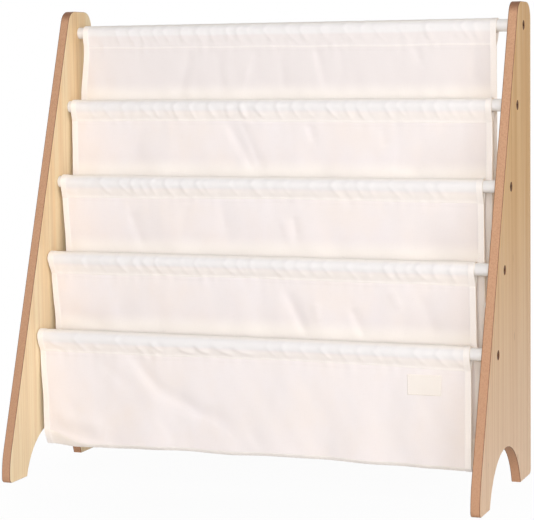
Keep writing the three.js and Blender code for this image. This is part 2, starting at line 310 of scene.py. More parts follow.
def clothFinish():
    look = clothLook
    cloth = newFinish("cotton_canvas")
    along = cloth.place("UV")
    u, v = cloth.split(along)[:2]
    turn = math.pi / look["yarn"]
    weave = (u * turn).sine() * (v * turn).sine()
    slubs = (cloth.noise(along, look["slubScale"], 2.0)
             + cloth.noise(along, (look["slubScale"][1], look["slubScale"][0], 1), 2.0)) * 0.5
    cloud = cloth.noise(along, look["cloudScale"], 3.0).ramp(*look["cloudFrom"])
    mottle = cloth.noise(along, look["mottleScale"], 2.0).ramp(*look["mottleFrom"])
    foldShade = cloth.noise(along, look["foldShadeScale"], 2.0).ramp(*look["foldShadeFrom"])
    backwards = cloth.split(cloth.place("Normal"))[1]
    forward = (backwards * -1).ramp(*look["forwardFrom"])
    shade = cloth.layered(
        look["white"],
        (cloud * look["cloudShare"] + mottle * look["mottleShare"], look["warm"]),
        # painted shade: fold bands laid at random, and the top row where light passes through the single
        # layer of cloth, are painted cooler and darker
        ((foldShade * look["foldShadeShare"]).most(cloth.attribute("single")), look["coolShade"]),
        # painted light: cooler and whiter over the rods
        (cloth.attribute("backed"), look["backed"]),
        (cloth.attribute("sheltered") * forward, look["sheltered"]),
        (cloth.attribute("doubled") * look["doubledShare"], look["doubled"]),
        ((1 - abs(weave).ramp(*look["weaveUpTo"])) * look["weaveShare"], look["gap"]),
        (slubs.ramp(*look["slubFrom"]) * look["slubShare"], look["gap"]))
    return cloth.finish(
        Base_Color=shade,
        Roughness=0.84 + slubs * 0.10,
        Normal=cloth.bump(weave * 0.5 + slubs * 1.2, look["bumpHeight"], 0.35),
        Specular_IOR_Level=0.18,
        Sheen_Weight=0.10,
        Sheen_Roughness=0.5)


paintLook = {
    "white": (238, 237, 238),
    "dust": (226, 225, 227),
    "peelScale": (260, 420, 420),
    "dustScale": (30, 60, 60),
    "dustFrom": (0.3, 0.8),
    "dustShare": 0.3,
    "bumpHeight": 0.00004,
}


def paintFinish():
    look = paintLook
    paint = newFinish("white_paint")
    where = paint.place()
    peel = paint.noise(where, look["peelScale"], 2.0)
    dust = paint.noise(where, look["dustScale"], 4.0)
    return paint.finish(
        Base_Color=paint.mix(dust.ramp(*look["dustFrom"]) * look["dustShare"], look["white"], look["dust"]),
        Roughness=0.20 + dust * 0.08,
        Normal=paint.bump(peel, look["bumpHeight"], 0.5),
        Coat_Weight=0.4,
        Coat_Roughness=0.08)


bronzeLook = {
    "worn": (112, 70, 42),
    "dark": (58, 35, 23),
    "wearScale": (900, 900, 900),
    "cloudScale": (240, 240, 240),
    "darkFrom": (0.35, 0.7),
    "bumpHeight": 0.00003,
}


def bronzeFinish():
    look = bronzeLook
    bronze = newFinish("dark_bronze")
    where = bronze.place()
    wear = bronze.noise(where, look["wearScale"], 4.0, 0.6)
    cloud = bronze.noise(where, look["cloudScale"], 3.0)
    return bronze.finish(
        Base_Color=bronze.mix(cloud.ramp(*look["darkFrom"]), look["worn"], look["dark"]),
        Roughness=0.42 + wear * 0.25,
        Normal=bronze.bump(wear, look["bumpHeight"], 0.5),
        Specular_IOR_Level=0.12)


plasticLook = {
    "light": (150, 151, 152),
    "dark": (136, 137, 139),
    "grainScale": (1400, 1400, 1400),
    "darkFrom": (0.3, 0.7),
    "bumpHeight": 0.00004,
}


def plasticFinish():
    look = plasticLook
    plastic = newFinish("grey_plastic")
    grain = plastic.noise(plastic.place(), look["grainScale"], 3.0)
    return plastic.finish(
        Base_Color=plastic.mix(grain.ramp(*look["darkFrom"]), look["light"], look["dark"]),
        Roughness=0.52 + grain * 0.15,
        Normal=plastic.bump(grain, look["bumpHeight"], 0.5))


ribbonLook = {
    "light": (240, 231, 223),
    "dark": (236, 226, 217),
    "rib": 0.0006,                     # the distance between two ribs
    "fleckScale": (500, 2600, 1),
    "darkFrom": (0.35, 0.7),
    "darkShare": 0.5,
    "bumpHeight": 0.00006,
}


def ribbonFinish():
    look = ribbonLook
    ribbon = newFinish("label_ribbon")
    along = ribbon.place("UV")
    across = ribbon.split(along)[1]
    ribs = (across * (2 * math.pi / look["rib"])).sine()
    fleck = ribbon.noise(along, look["fleckScale"], 3.0)
    return ribbon.finish(
        Base_Color=ribbon.mix(fleck.ramp(*look["darkFrom"]) * look["darkShare"], look["light"], look["dark"]),
        Roughness=0.55 + fleck * 0.12,
        Normal=ribbon.bump(ribs * 0.5 + fleck, look["bumpHeight"], 0.4),
        Sheen_Weight=0.15,
        Sheen_Roughness=0.4)


threadLook = {
    "light": (254, 247, 240),
    "dark": (240, 229, 219),
    "twistScale": (2600, 900, 2600),
    "darkFrom": (0.3, 0.7),
    "bumpHeight": 0.00006,
}


def threadFinish():
    look = threadLook
    thread = newFinish("sewing_thread")
    twist = thread.noise(thread.place(), look["twistScale"], 2.0)
    return thread.finish(
        Base_Color=thread.mix(twist.ramp(*look["darkFrom"]), look["light"], look["dark"]),
        Roughness=0.62 + twist * 0.12,
        Normal=thread.bump(twist, look["bumpHeight"], 0.6),
        Sheen_Weight=0.2)


finishes = {
    "wood": woodFinish(),
    "cloth": clothFinish(),
    "paint": paintFinish(),
    "bronze": bronzeFinish(),
    "plastic": plasticFinish(),
    "ribbon": ribbonFinish(),
    "thread": threadFinish(),
}
print("scene: finishes made")


def newPiece(name, mesh, finish, slot, *nodes):
    piece = bpy.data.objects.new(name, mesh)
    bpy.context.scene.collection.objects.link(piece)
    mesh.materials.clear()
    mesh.materials.append(finishes[finish])
    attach(piece, "root")
    if nodes:
        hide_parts(*nodes)
    return piece


def toMesh(bm, name):
    mesh = bpy.data.meshes.new(name)
    for face in bm.faces:
        face.smooth = True
    bm.to_mesh(mesh)
    bm.free()
    return mesh


def sharpen(bm, degrees):
    # edges that turn more than this stay crisp
    limit = math.radians(degrees)
    for edge in bm.edges:
        edge.smooth = len(edge.link_faces) == 2 and edge.calc_face_angle() < limit


def smoothStep(low, high, value):
    share = np.clip((value - low) / (high - low), 0, 1)
    return share * share * (3 - 2 * share)


def bell(value, middle, width):
    return np.exp(-((value - middle) / width) ** 2)


panelLook = {"sharpAngle": 20}


def makePanel(side):
    node = f"{side}_side_panel"
    bm = bmesh.new()
    bm.from_mesh(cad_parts[node].data)
    bmesh.ops.remove_doubles(bm, verts=bm.verts, dist=weld)
    sharpen(bm, panelLook["sharpAngle"])
    newPiece(f"{side}_panel_board", toMesh(bm, node), "wood", "side_panel", node)


for side in ("left", "right"):
    makePanel(side)
print("scene: side panels made")


# rods, and the rows of cloth on them, are numbered from the top
rodCount = 5
rodLook = {"radius": 0.008, "bore": 0.0068, "chamfer": 0.0004, "sides": 72, "sharpAngle": 30}
boltLook = {
    "sides": 48,
    "headRadius": 0.006,
    "headThickness": 0.003,
    "headRound": 0.0009,
    "roundSteps": 5,
    "socketRadius": 0.0023,
    "socketDepth": 0.002,
    "socketBevel": 0.0003,
    "socketCorners": 6,
    "shankRadius": 0.003,
    "plainShank": 0.002,
    "threadPitch": 0.001,
    "threadDepth": 0.00035,
    "tipLength": 0.0008,
    "tipTaper": 0.0012,
    "sharpAngle": 32,
}


def spinAlongX(profile, centre, sides, sign=1):
    # the profile's points are (distance along X, radius), turned once about the X axis through centre
    bm = bmesh.new()
    points = [bm.verts.new((sign * along, 0, radius)) for along, radius in profile]
    for first, second in zip(points, points[1:]):
        bm.edges.new((first, second))
    bmesh.ops.spin(bm, geom=[*bm.verts, *bm.edges], cent=(0, 0, 0), axis=(1, 0, 0), angle=2 * math.pi,
                   steps=sides, use_merge=True)
    bmesh.ops.remove_doubles(bm, verts=bm.verts, dist=weld)
    bmesh.ops.recalc_face_normals(bm, faces=bm.faces)
    bmesh.ops.translate(bm, verts=bm.verts, vec=centre)
    return bm


def makeRod(row):
    node = f"rod_tube_{row}"
    low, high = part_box(node)
    middle = (low + high) / 2
    half = (high.x - low.x) / 2
    outer, bore, cut = rodLook["radius"], rodLook["bore"], rodLook["chamfer"]
    profile = [(-half, bore), (-half, outer - cut), (cut - half, outer), (half - cut, outer),
               (half, outer - cut), (half, bore), (-half, bore)]
    bm = spinAlongX(profile, middle, rodLook["sides"])
    sharpen(bm, rodLook["sharpAngle"])
    newPiece(f"painted_rod_{row}", toMesh(bm, node), "paint", "rod", node)
    return middle


def boltProfile(top, tip):
    # from the socket's floor over the head and down the threaded shank; top and tip are distances from X = 0
    look = boltLook
    floor = top - look["socketDepth"]
    under = top - look["headThickness"]
    profile = [(floor, 0), (floor, look["socketRadius"]), (top - look["socketBevel"], look["socketRadius"]),
               (top, look["socketRadius"] + look["socketBevel"])]
    for step in range(look["roundSteps"] + 1):
        turn = math.pi / 2 * step / look["roundSteps"]
        profile.append((top - look["headRound"] * (1 - math.cos(turn)),
                        look["headRadius"] - look["headRound"] * (1 - math.sin(turn))))
    profile += [(under, look["headRadius"]), (under, look["shankRadius"])]
    root = look["shankRadius"] - look["threadDepth"]
    place = under - look["plainShank"]
    while place > tip + look["plainShank"]:
        profile += [(place, root), (place - look["threadPitch"] / 2, look["shankRadius"])]
        place -= look["threadPitch"]
    profile += [(tip + look["tipLength"], root), (tip, look["shankRadius"] - look["tipTaper"]), (tip, 0)]
    return profile


def makeBolt(side, row):
    look = boltLook
    node = f"bolt_{side}_{row}"
    low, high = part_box(node)
    sign = 1 if side == "right" else -1
    top, tip = (high.x, low.x) if sign > 0 else (-low.x, -high.x)
    centre = Vector((0, (low.y + high.y) / 2, (low.z + high.z) / 2))
    bm = spinAlongX(boltProfile(top, tip), centre, look["sides"], sign)
    corner = math.pi / look["socketCorners"]
    for vert in bm.verts:  # the socket's round wall becomes a hexagon
        arm = Vector((vert.co.y - centre.y, vert.co.z - centre.z))
        inSocket = abs(vert.co.x) > top - look["socketDepth"] - weld
        if inSocket and weld < arm.length < look["socketRadius"] + look["socketBevel"] + weld:
            turn = math.atan2(arm.y, arm.x) % (2 * corner) - corner
            arm *= math.cos(corner) / math.cos(turn)
            vert.co = (vert.co.x, centre.y + arm.x, centre.z + arm.y)
    sharpen(bm, look["sharpAngle"])
    newPiece(f"bronze_bolt_{side}_{row}", toMesh(bm, node), "bronze", "bolt", node)


axes = [makeRod(row) for row in range(1, rodCount + 1)]
for side in ("left", "right"):
    for row in range(1, rodCount + 1):
        makeBolt(side, row)
        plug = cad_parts[f"end_plug_{side}_{row}"]
        for materialSlot in plug.material_slots:
            materialSlot.material = finishes["plastic"]
print("scene: rods, bolts and plugs made")


# The sling's lengths are in mm. A drop is a distance under a rod's axis.
sling = {
    "thickness": 1.0,
    "rimShare": 0.3,             # how much of the thickness is rounded off at the cloth's edges
    "rimSegments": 2,
    "rimAngle": 60,              # an edge that turns more than this is rounded
    "hemThickness": 1.8,
    "hemWidth": 8.0,
    "hemStitch": 6.4,            # from the cloth's end to the hem's stitches
    "hemColumns": (0, 0.09, 0.3, 0.55, 0.8, 0.95),  # shares of the hem's width
    "columnsFrom": 1.06,         # where the even columns begin, as a share of it
    "seamThickness": 1.5,
    "seamWidth": 2.2,            # the doubled band along each seam
    "seamStitch": 1.2,
    "seamLines": (0, 0.3, 0.65, 0.98, 1.2),         # shares of the seam's width
    "linesFrom": 1.862,          # where the even lines begin, as a share of it
    "seamWhite": 0.4,            # how much of the doubled cloth's whiteness a seam shows
    "seamProud": 0.15,           # how far the sleeve stands in front of the wall that it's sewn to
    "seamLap": 0.4,
    "seamWander": 0.3,
    "seamWanderPitch": 19.0,
    "seamWanderShift": 2.1,      # from each row to the next
    "sleeveRadius": 8.8,
    "sleeveAround": 73.4,
    "seamDrop": 21.0,
    "pocketDrop": 146.6,
    "layerOffset": 0.7,
    "singleOffset": 1.0,         # between a sleeve's two ends on the top and bottom rods
    "layerSpread": 2.0,
    "foldDepth": 2.8,
    "foldPitch": 148.0,
    "foldStrengths": (0.6, 0.4),
    "foldPitchShares": (1.0, 0.63),
    "bottomWave": 1.2,
    "bottomPoint": 0.75,         # 0 is a round bottom and 1 a sharp fold
    "bottomPlace": 0.10,         # where the fold lies, from the front wall at 0 to the rear wall at 1
    "bottomFront": 5.0,          # how far above the fold the front wall begins to turn, and the rear wall
    "bottomRear": 34.0,
    "cornerPlace": 0.20,         # the same at the left end
    "cornerFront": 20.0,
    "cornerEnds": (-300.0, -238.0),
    "rearSpread": 6.0,           # how far the lowest pocket's rear wall reaches right at its right end,
    "spreadPower": 6,            # how near to that end this begins,
    "spreadEnds": (0.42, 0.66),  # and where it fades out, as shares of the wall's height
    "stepBack": 34.0,
    "leanDrop": 90.0,            # where the lean of a row's left end is full
    "columns": 286,
    "frontSteps": 48,
    "turnSteps": 22,
    "rearSteps": 86,
    "straightSteps": 12,
    "arcSteps": 28,
}
# One row of cloth hangs from each rod. ends are its two ends along X, and lean is how far right the left end
# moves at the seam and lower down. seamForward is how far its seam hangs in front of its rod, in sleeve
# radii, and driftBack how far the cloth goes back over its depth, in steps between rods. Lines are (X, drop)
# points. A crease is its depth towards the back, its width on its upper or left side and on the other, and
# its line. A wrinkle is a place along X, and a stroke is a height and a line on the sleeve.
rows = [
    {"ends": (-294.8, 283.9), "lean": (1.0, -5.0), "seamForward": 0.9, "driftBack": 0.0, "foldStart": 0.10,
     "seam": [(-295, 21.4), (-170, 22.7), (-30, 23.2), (60, 24.0), (140, 24.6), (220, 24.0), (284, 24.3)],
     "creases": [
         (0.9, 7, 9, [(-138, 27), (-150, 83)]), (0.6, 7, 7, [(-97, 27), (-89, 83)]),
         (0.8, 6, 9, [(-39, 26), (-56, 83)]), (0.7, 6, 8, [(-7, 25), (-3, 83)]),
         (1.3, 5, 9, [(42, 25), (55, 79)]), (0.5, 7, 7, [(78, 25), (78, 72)]),
         (1.0, 5, 7, [(176, 26), (184, 46)]), (0.7, 8, 8, [(254, 24), (253, 72)])],
     "wrinkles": (-245, -226, -209, -190, -175, -149, -127, -107, -84, -69, -55, -31, 0, 21, 48, 81, 104, 121,
                  156, 192, 227, 238, 255),
     "strokes": [(0.8, [(-149, 3), (-146, 16)]), (0.7, [(-85, 1), (-80, 15)]), (1.0, [(191, 5), (198, 20)]),
                 (0.7, [(21, 2), (31, 18)]), (0.7, [(80, 6), (84, 18)])]},
    {"ends": (-298.5, 285.7), "lean": (-1.8, -1.8), "seamForward": 0.1, "driftBack": 0.0, "foldStart": 0.62,
     "seam": [(-298, 19.6), (-170, 19.1), (-60, 19.5), (22, 20.3), (130, 21.7), (285, 21.9)],
     "creases": [
         (1.7, 6, 10, [(-73, 23), (-36, 83)]), (1.0, 5, 8, [(-52, 23), (-26, 80)]),
         (1.3, 5, 8, [(39, 24), (47, 46)]), (0.8, 6, 8, [(140, 28), (145, 54)]),
         (0.8, 8, 10, [(154, 77), (192, 87)])],
     "wrinkles": (-270, -249, -222, -194, -176, -159, -147, -124, -96, -51, -30, -1, 21, 38, 68, 93, 109, 124,
                  147, 163, 175, 196, 212, 231, 256),
     "strokes": [(1.1, [(-70, -1), (-68, 16)]), (0.9, [(-52, 0), (-47, 16)]), (0.9, [(-31, 0), (-20, 16)])]},
    {"ends": (-299.4, 282.7), "lean": (-0.8, 2.5), "seamForward": 0.0, "driftBack": 0.11, "foldStart": 0.35,
     "seam": [(-299, 21.1), (-164, 20.8), (-55, 19.6), (26, 19.1), (161, 20.4), (256, 20.9), (283, 21.2)],
     "creases": [
         (1.3, 6, 10, [(-201, 40), (-183, 88)]), (0.7, 8, 8, [(-120, 29), (-128, 75)]),
         (0.7, 7, 7, [(-73, 26), (-63, 64)]), (1.2, 5, 7, [(30, 42), (34, 68)]),
         (-0.8, 6, 6, [(15, 46), (27, 78)])],
     "wrinkles": (-240, -212, -195, -180, -167, -146, -123, -101, -90, -55, -24, -3, 20, 56, 85, 104, 120,
                  136, 163, 184, 210, 226),
     "strokes": []},
    {"ends": (-302.8, 280.7), "lean": (1.0, 4.0), "seamForward": 0.0, "driftBack": 0.18, "foldStart": 0.85,
     "seam": [(-303, 20.7), (-205, 20.4), (-97, 19.3), (12, 19.0), (93, 20.3), (174, 20.4), (242, 20.6),
              (281, 21.0)],
     "creases": [
         (1.5, 6, 9, [(30, 35), (57, 90)]), (1.4, 6, 9, [(119, 54), (135, 91)]),
         (0.8, 9, 9, [(209, 35), (231, 87)]), (-0.8, 6, 6, [(71, 48), (74, 73)]),
         (-0.8, 6, 6, [(171, 28), (183, 52)]), (0.8, 10, 12, [(-287, 71), (-224, 90)])],
     "wrinkles": (-253, -227, -201, -178, -164, -147, -130, -111, -91, -75, -50, -32, -14, 16, 33, 49, 68, 85,
                  117, 141, 166, 180, 194, 206, 228, 250),
     "strokes": []},
    {"ends": (-303.3, 283.4), "lean": (0.0, 3.3), "seamForward": 0.1, "driftBack": 0.0, "foldStart": 0.50,
     "seam": [(-303, 20.2), (-224, 20.0), (-156, 20.4), (-88, 19.2), (35, 18.2), (117, 18.6), (185, 19.4),
              (239, 20.4), (283, 21.5)],
     "creases": [
         (2.4, 8, 12, [(-168, 23), (-151, 45), (-132, 66), (-107, 78), (-80, 92), (-56, 97), (-43, 109)]),
         (0.9, 8, 10, [(-217, 31), (-181, 60)]), (1.0, 8, 10, [(-133, 97), (-110, 133)]),
         (0.8, 7, 9, [(-8, 110), (10, 134)]), (2.2, 7, 16, [(-300, 121), (-214, 139)]),
         (-1.2, 14, 10, [(-280, 108), (-215, 118)])],
     "wrinkles": (-250, -190, 20, 41, 66, 93, 118, 140, 163, 188, 214, 241, 262),
     "strokes": [(0.9, [(-285, 6), (-266, 17)]), (0.7, [(-222, 8), (-212, 16)]),
                 (0.9, [(-160, 6), (-151, 18)]), (1.1, [(-140, 1), (-125, 16)]),
                 (1.1, [(-102, 7), (-76, 18)]), (0.9, [(-77, 4), (-58, 16)]),
                 (1.0, [(-50, 4), (-26, 17)]), (0.9, [(-25, 4), (5, 16)])]},
]
for row, axis in zip(rows, axes):
    row["axis"] = (axis.y / mm, axis.z / mm)
lowestRow = rodCount - 1  # rows and pockets count from 0 here, and from 1 in the pieces' names
lowestPocket = rodCount - 2
# how much lower than a straight line the lowest pocket's bottom hangs, at places along X
bottomLine = [(-305, -2.0), (-262, 0.8), (-239, 0.0), (-220, -0.6), (-205, -0.6), (-165, -2.4), (-110, -3.4),
              (-40, -2.4), (20, -4.2), (100, -3.9), (180, -2.2), (250, -1.4), (290, -1.2)]
# where the cloth is a little whiter, because less light reaches it. Heights on a sleeve are measured from
# its rod's axis in sleeve radii, and those on a wall in mm
shelter = {
    # painted light: the heights over the rod where the cloth is painted cooler and whiter
    "backed": (-0.9, -0.4),
    "underRod": (-1.2, -0.5),
    "underShare": 0.60,
    "bottomShare": 0.8,           # under the lowest pocket
    "sleeveTop": (0.5, 0.95),
    "middle": 6.0,                # the middle of a wall's whiter band lies this far above a lower rod's axis
    "aboveSleeve": (4.0, 28.0),   # how far from that middle the band begins and ends to fade
}
# the small shapes of the cloth, in mm. Waves have a seed, their number, pitch, lean and height
reliefLook = {
    "creaseStrength": 1.4,
    "creaseEnds": (0.15, 0.2, 0.8, 1.15),        # where along its line a crease fades in and out
    "puckers": (40, 14, 19.0, 0.35, 0.36),
    "puckerReach": 9.0,                          # how far the puckers go below the seam
    "puckerStretch": 0.4,
    "softWaves": (60, 8, 46.0, 0.45, 0.50),
    "softFrom": (0.0, 46.0),                     # how far below the seam they fade in
    "sleeveWaves": (20, 10, 17.0, 0.5, 0.20),
    "wavePitches": (0.6, 1.7),                   # shares of the pitch that each wave may have
    "seamRidge": 0.45,
    "seamRidgeDrop": 1.8,
    "seamRidgeWidth": 1.4,
    "wrinkleSeed": 80,
    "wrinkleHeight": (0.55, 1.10),
    "wrinkleWidth": (2.4, 3.8),
    "wrinkleLeanLow": (0.3, 0.9),
    "wrinkleLeanHigh": (0.2, 0.8),
    "strokeStrength": 1.3,
    "strokeWidths": (2.6, 4.0),
    "strokeBack": 2.0,                           # how far behind the rod's axis a stroke may reach
    "topCalm": 0.75,                             # how much flatter the wrinkles are over a rod's top
    "topCalmFrom": (0.2, 0.9),                   # in sleeve radii above the axis
    "bulgeHeight": 0.55,
    "bulgeDrop": 9.0,
    "bulgeWidth": 6.0,
    "calmFrom": 0.35,                            # where a sleeve begins to follow the wall below it
}


def lineRelief(x, drop, line, upper, lower):
    # 1 on the line and 0 away from it; upper and lower are its widths on the line's two sides
    best = np.full(np.shape(x), np.inf)
    side = np.zeros(np.shape(x))
    place = np.zeros(np.shape(x))
    total = sum(math.dist(first, second) for first, second in zip(line, line[1:]))
    gone = 0.0
    for (x0, d0), (x1, d1) in zip(line, line[1:]):
        length = math.dist((x0, d0), (x1, d1))
        ux, ud = (x1 - x0) / length, (d1 - d0) / length
        along = np.clip((x - x0) * ux + (drop - d0) * ud, 0, length)
        away = np.hypot(x - x0 - ux * along, drop - d0 - ud * along)
        nearer = away < best
        best = np.where(nearer, away, best)
        side = np.where(nearer, (x - x0) * ud - (drop - d0) * ux, side)
        place = np.where(nearer, (gone + along) / total, place)
        gone += length
    ends = reliefLook["creaseEnds"]
    taper = smoothStep(-ends[0], ends[1], place) * (1 - smoothStep(ends[2], ends[3], place))
    return bell(best, 0, np.where(side < 0, upper, lower)) * taper


def ripples(row, x, drop, look):
    # a fixed sum of long soft waves, mostly upright
    seed, count, pitch, lean, height = look
    random = np.random.default_rng(seed + row)
    total = np.zeros(np.broadcast(x, drop).shape)
    for _ in range(count):
        turn = random.normal(0, lean)
        wave = 2 * math.pi / (pitch * random.uniform(*reliefLook["wavePitches"]))
        start = random.uniform(0, 2 * math.pi)
        total += np.cos(wave * (x * math.cos(turn) + drop * math.sin(turn)) + start)
    return height * total / math.sqrt(count)


def rowX(row, share):
    left, right = rows[row]["ends"]
    return left + (right - left) * share


def leanX(row, share, drop):
    atSeam, low = rows[row]["lean"]
    onSleeve = atSeam * smoothStep(0, sling["seamDrop"], drop)
    below = (low - atSeam) * smoothStep(sling["seamDrop"], sling["leanDrop"], drop)
    return rowX(row, share) + (onSleeve + below) * (1 - share) ** 2


def seamDrop(row, x):
    places, drops = zip(*rows[row]["seam"])
    turn = x / sling["seamWanderPitch"] + row * sling["seamWanderShift"]
    return np.interp(x, places, drops) + sling["seamWander"] * np.sin(turn)


def foldY(row, x, drop):
    waves = 0
    for i, strength in enumerate(sling["foldStrengths"]):
        turns = x / (sling["foldPitch"] * sling["foldPitchShares"][i]) + rows[row]["foldStart"] * (i + 1)
        waves = waves + strength * np.cos(2 * math.pi * turns)
    return sling["foldDepth"] * smoothStep(sling["seamDrop"], sling["pocketDrop"], drop) * waves


def wallRelief(row, x, drop):
    # creases, puckers under the seam and the ridge that the seam makes, towards the back
    look = reliefLook
    total = np.zeros(np.broadcast(x, drop).shape)
    for depth, upper, lower, line in rows[row]["creases"]:
        total = total + look["creaseStrength"] * depth * lineRelief(x, drop, line, upper, lower)
    below = drop - seamDrop(row, x)
    fade = np.exp(-np.maximum(below, 0) / look["puckerReach"])
    puckers = ripples(row, x, drop * look["puckerStretch"], look["puckers"]) * fade
    soft = ripples(row, x, drop, look["softWaves"]) * smoothStep(*look["softFrom"], below)
    ridge = bell(below, look["seamRidgeDrop"], look["seamRidgeWidth"])
    return total + puckers + soft - look["seamRidge"] * ridge


def wallY(row, layer, x, drop):
    look = rows[row]
    share = (drop - sling["seamDrop"]) / (sling["pocketDrop"] - sling["seamDrop"])
    twoWalls = 0 < row < lowestRow
    apart = layer * (sling["layerOffset"] + sling["layerSpread"] / 2 * share) if twoWalls else 0
    seamY = look["axis"][0] - look["seamForward"] * sling["sleeveRadius"]
    drift = look["driftBack"] * sling["stepBack"] * share
    return seamY + apart + drift + foldY(row, x, drop) + wallRelief(row, x, drop)


def bottomDrop(pocket, x):
    if pocket < lowestPocket:
        return -sling["bottomWave"] * np.cos(2 * math.pi * x / sling["foldPitch"])
    total = np.zeros(np.shape(x))
    for (x0, drop0), (x1, drop1) in zip(bottomLine, bottomLine[1:]):
        within = (x >= x0) & (x < x1)
        total = np.where(within, drop0 + (drop1 - drop0) * smoothStep(x0, x1, x), total)
    return total


def pocketPoints(pocket, share, stations):
    # the middle of a pocket's cloth. share runs from its left end to its right end; stations run from 0 at
    # the front seam to 1 where the bottom's turn begins, 2 where it ends and 3 at the rear seam
    look = sling
    front, rear = pocket + 1, pocket
    frontX, rearX = rowX(front, share), rowX(rear, share)
    frontAxis, rearAxis = rows[front]["axis"], rows[rear]["axis"]
    bottom = frontAxis[1] - look["pocketDrop"] - bottomDrop(pocket, frontX)
    corner = 1 - smoothStep(*look["cornerEnds"], frontX)
    fold = look["bottomPlace"] + (look["cornerPlace"] - look["bottomPlace"]) * corner
    frontTurn = look["bottomFront"] + (look["cornerFront"] - look["bottomFront"]) * corner
    first = np.clip(stations, 0, 1)
    last = np.clip(stations - 2, 0, 1)
    frontTop = frontAxis[1] - seamDrop(front, frontX) + look["seamLap"]
    rearTop = rearAxis[1] - seamDrop(rear, rearX) + look["seamLap"]
    angle = math.pi * np.clip(stations - 1, 0, 1)
    turned = -np.cos(angle)
    back = np.where(turned < 0, fold * (1 + turned), fold + (1 - fold) * turned)
    point = look["bottomPoint"]
    depth = np.sin(angle) * (1 - point) + (1 - np.abs(turned)) * point
    frontZ = frontTop + (bottom + frontTurn - frontTop) * first
    rearZ = bottom + look["bottomRear"] + (rearTop - bottom - look["bottomRear"]) * last
    frontX = leanX(front, share, frontAxis[1] - frontZ)
    rearX = leanX(rear, share, rearAxis[1] - rearZ)
    if pocket == lowestPocket:
        spread = look["rearSpread"] * share ** look["spreadPower"]
        rearX = rearX + spread * (1 - smoothStep(*look["spreadEnds"], last))
    x = frontX + (rearX - frontX) * back
    frontY = wallY(front, 1, frontX, frontAxis[1] - frontZ)
    rearY = wallY(rear, -1, rearX, rearAxis[1] - rearZ)
    y = frontY + (rearY - frontY) * back
    z = np.where(turned < 0, frontZ - frontTurn * depth, rearZ - look["bottomRear"] * depth)
    return x, y, z


def sleevePoints(row, share, stations):
    # the middle of the cloth round a rod. stations run from 0 at the front seam to 1 at the rear seam
    look = rows[row]
    axisY, axisZ = look["axis"]
    radius = sling["sleeveRadius"]
    x = rowX(row, share)
    drop = seamDrop(row, x)
    seamY = -look["seamForward"] * radius
    reach = np.hypot(seamY, drop)
    downward = np.arctan2(-drop, seamY)
    opening = np.arccos(radius / reach)
    straight = np.sqrt(reach ** 2 - radius ** 2)
    arc = radius * (2 * math.pi - 2 * opening)
    gone = stations * (2 * straight + arc)
    inFront = 1 - np.clip(gone / straight, 0, 1)
    behind = np.clip((gone - straight - arc) / straight, 0, 1)
    turn = np.clip((gone - straight) / arc, 0, 1)
    angle = downward - opening - turn * (2 * math.pi - 2 * opening)
    outY, outZ = np.cos(angle), np.sin(angle)
    twoWalls = 0 < row < lowestRow
    frontEnd = seamY - sling["seamProud"] - (sling["layerOffset"] if twoWalls else 0)
    rearEnd = seamY + sling["seamProud"] + (sling["layerOffset"] if twoWalls else sling["singleOffset"])
    y = radius * outY + (frontEnd - radius * outY) * inFront + (rearEnd - radius * outY) * behind
    z = radius * outZ - (drop + radius * outZ) * (inFront + behind)
    follow = smoothStep(reliefLook["calmFrom"], 1, np.maximum(inFront, behind))
    lift = sleeveRelief(row, x, y, z) * (1 - follow)
    y = y + outY * lift + wallRelief(row, x, drop) * follow
    return leanX(row, share, -z), axisY + y, axisZ + z + outZ * lift


def sleeveRelief(row, x, y, z):
    # wrinkles stand out from the rod; each leans right below the rod's front and over its top
    look = reliefLook
    random = np.random.default_rng(look["wrinkleSeed"] + row)
    total = np.zeros(np.broadcast(x, z).shape)
    facing = 1 - look["topCalm"] * smoothStep(*look["topCalmFrom"], z / sling["sleeveRadius"])
    for place in rows[row]["wrinkles"]:
        height = random.uniform(*look["wrinkleHeight"])
        lower, upper = random.uniform(*look["wrinkleLeanLow"]), random.uniform(*look["wrinkleLeanHigh"])
        width = random.uniform(*look["wrinkleWidth"])
        middle = place + np.where(z < 0, -z * lower, z * upper)
        total = total + height * facing * bell(x, middle, width)
    for height, line in rows[row]["strokes"]:
        stroke = lineRelief(x, -z, line, *look["strokeWidths"])
        total = total + look["strokeStrength"] * height * stroke * (y < look["strokeBack"])
    waves = facing * (look["sleeveWaves"][-1] + ripples(row, x, y + z, look["sleeveWaves"]))
    bulge = look["bulgeHeight"] * bell(z, -look["bulgeDrop"], look["bulgeWidth"]) * (y < 0)
    return total + waves + bulge


def asPoints(x, y, z):
    return np.stack(np.broadcast_arrays(x, y, z), axis=-1)


def hemShares(length):
    # shares along the cloth, with narrow columns where the doubled edges end
    ends = sling["hemWidth"] * np.array(sling["hemColumns"])
    start = sling["hemWidth"] * sling["columnsFrom"]
    inner = np.linspace(start, length - start, sling["columns"])
    return np.concatenate([ends, inner, length - ends[::-1]]) / length


